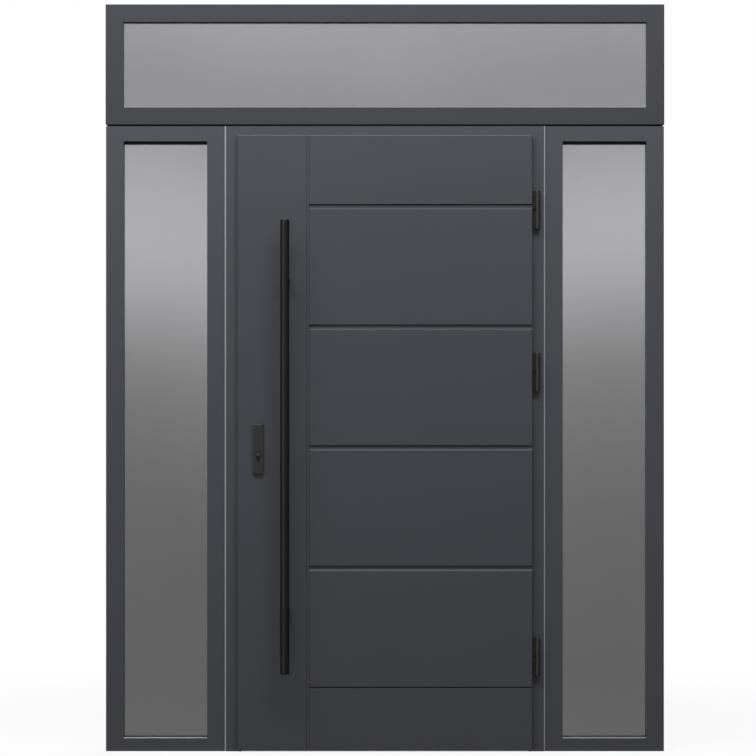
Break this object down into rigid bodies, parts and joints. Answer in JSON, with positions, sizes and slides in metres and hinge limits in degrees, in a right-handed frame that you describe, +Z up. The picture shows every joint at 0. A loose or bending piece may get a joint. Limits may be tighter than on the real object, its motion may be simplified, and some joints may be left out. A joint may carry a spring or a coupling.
{
  "type": "exterior door",
  "caption": "Anthracite entrance door set: a grooved leaf with a long pull bar opens outwards in a frame with glazed sidelights and a glazed transom above.",
  "frame": {"origin": "middle of the underside of the sill, halfway through the frame's depth", "axes": "+X to the right as seen from outside, +Y into the house, +Z up"},
  "size_m": [1.8594, 0.2125, 2.485],
  "materials": {
    "anthracite_painted_wood": "satin paint",
    "tinted_glass": "grey reflective",
    "black_rubber": "matt",
    "pale_aluminium": "satin",
    "threshold_aluminium": "brushed",
    "lock_steel": "brushed",
    "black_hardware": "satin black",
    "cylinder_metal": "satin dark"
  },
  "bodies": {
    "frame": {"lock_jamb": "anthracite_painted_wood", "hinge_jamb": "anthracite_painted_wood", "frame_head": "anthracite_painted_wood", "threshold": "threshold_aluminium", "strike_plates": "lock_steel", "outer_seal": "black_rubber", "inner_seal": "black_rubber", "left_light_stiles": "anthracite_painted_wood", "left_light_rails": "anthracite_painted_wood", "left_light_glass": "tinted_glass", "left_light_gasket": "black_rubber", "left_light_beads": "anthracite_painted_wood", "left_light_sill_strip": "pale_aluminium", "right_light_stiles": "anthracite_painted_wood", "right_light_rails": "anthracite_painted_wood", "right_light_glass": "tinted_glass", "right_light_gasket": "black_rubber", "right_light_beads": "anthracite_painted_wood", "right_light_sill_strip": "pale_aluminium", "transom_stiles": "anthracite_painted_wood", "transom_rails": "anthracite_painted_wood", "transom_glass": "tinted_glass", "transom_gasket": "black_rubber", "transom_beads": "anthracite_painted_wood", "left_joint_strip": "pale_aluminium", "right_joint_strip": "pale_aluminium", "transom_joint_seal": "black_rubber", "lower_hinge_frame_half": "black_hardware", "middle_hinge_frame_half": "black_hardware", "upper_hinge_frame_half": "black_hardware"},
    "leaf": {"leaf_core": "anthracite_painted_wood", "leaf_outer_panel": "anthracite_painted_wood", "leaf_inner_panel": "anthracite_painted_wood", "lower_hinge_leaf_half": "black_hardware", "middle_hinge_leaf_half": "black_hardware", "upper_hinge_leaf_half": "black_hardware", "pull_bar": "black_hardware", "pull_bar_posts": "black_hardware", "outer_lock_plate": "black_hardware", "inner_lock_plate": "black_hardware", "lock_cylinder": "cylinder_metal", "inner_lever": "black_hardware", "lock_faceplate": "lock_steel", "lock_bolts": "lock_steel"},
    "plug": {"cylinder_plug": "cylinder_metal"}
  },
  "joints": [
    {"name": "leaf_swing", "type": "hinge", "parent": "frame", "child": "leaf", "pos_m": [0.507, -0.0515, 0], "axis": [0, 0, 1], "range_deg": [0, 110]},
    {"name": "key_turn", "type": "hinge", "parent": "leaf", "child": "plug", "pos_m": [-0.4207, -0.0735, 0.9906], "axis": [0, 1, 0], "range_deg": [-720, 90]}
  ]
}
